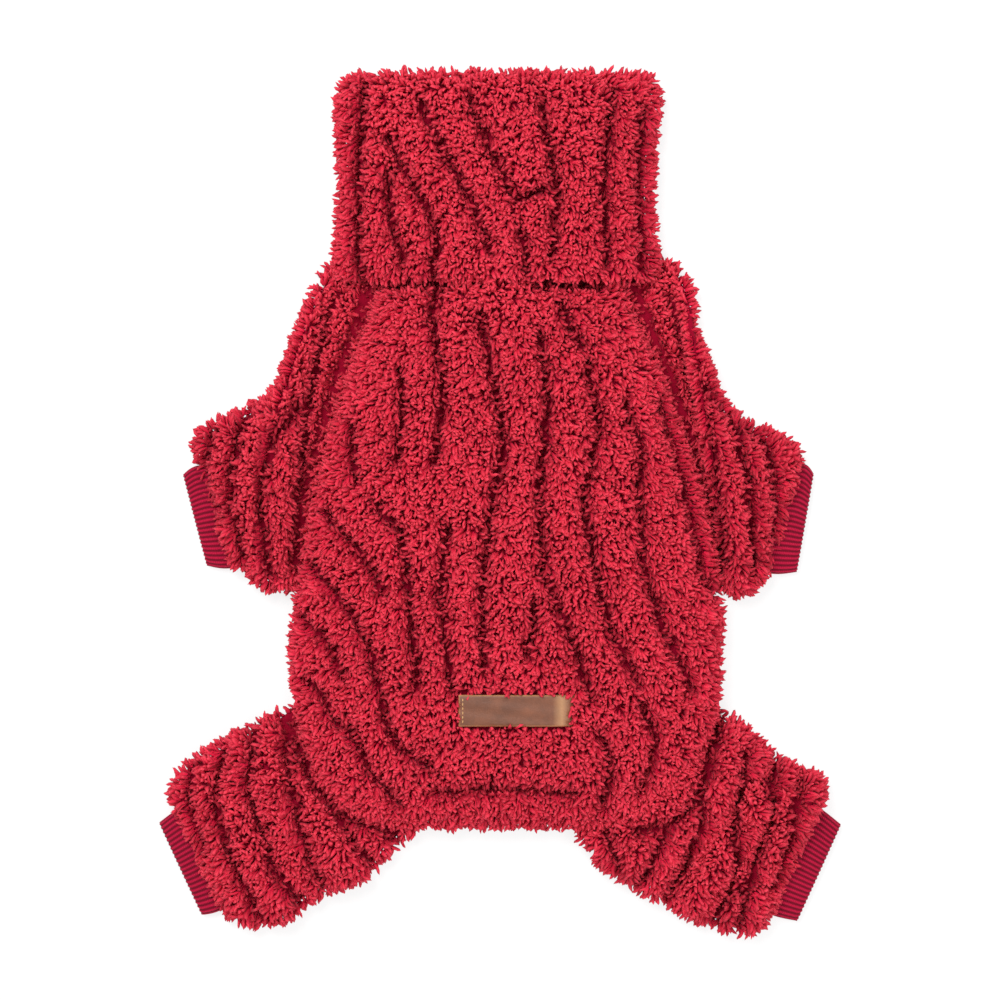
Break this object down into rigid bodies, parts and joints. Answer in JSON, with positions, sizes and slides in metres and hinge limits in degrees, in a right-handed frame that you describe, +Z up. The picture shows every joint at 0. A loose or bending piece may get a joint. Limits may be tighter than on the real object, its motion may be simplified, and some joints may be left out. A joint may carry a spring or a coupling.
{
  "type": "dog pajamas",
  "caption": "Turtleneck pajamas for a small dog in red cut-channel plush, laid flat with the back up, with raglan sleeves, hind legs, ribbed cuffs and a leather patch.",
  "frame": {"origin": "bottom centre of the whole laid-out suit, on the surface that it lies on", "axes": "+Y from the rear towards the collar, +X towards the suit's right edge as seen from above, +Z up out of the back"},
  "size_m": [0.3726, 0.4688, 0.027],
  "materials": {
    "plush": "bright red long-pile plush with wavy cut channels, matte with a soft sheen",
    "rib_knit": "dark crimson rib knit, matte",
    "label_leather": "tan brown leather, worn, half matte"
  },
  "bodies": {
    "root": {"collar": "plush", "back_panel": "plush", "belly_panel": "plush", "rear_hem": "plush", "sleeve_left": "plush", "sleeve_right": "plush", "leg_left": "plush", "leg_right": "plush", "cuff_front_left": "rib_knit", "cuff_front_right": "rib_knit", "cuff_hind_left": "rib_knit", "cuff_hind_right": "rib_knit", "label": "label_leather"}
  },
  "joints": []
}
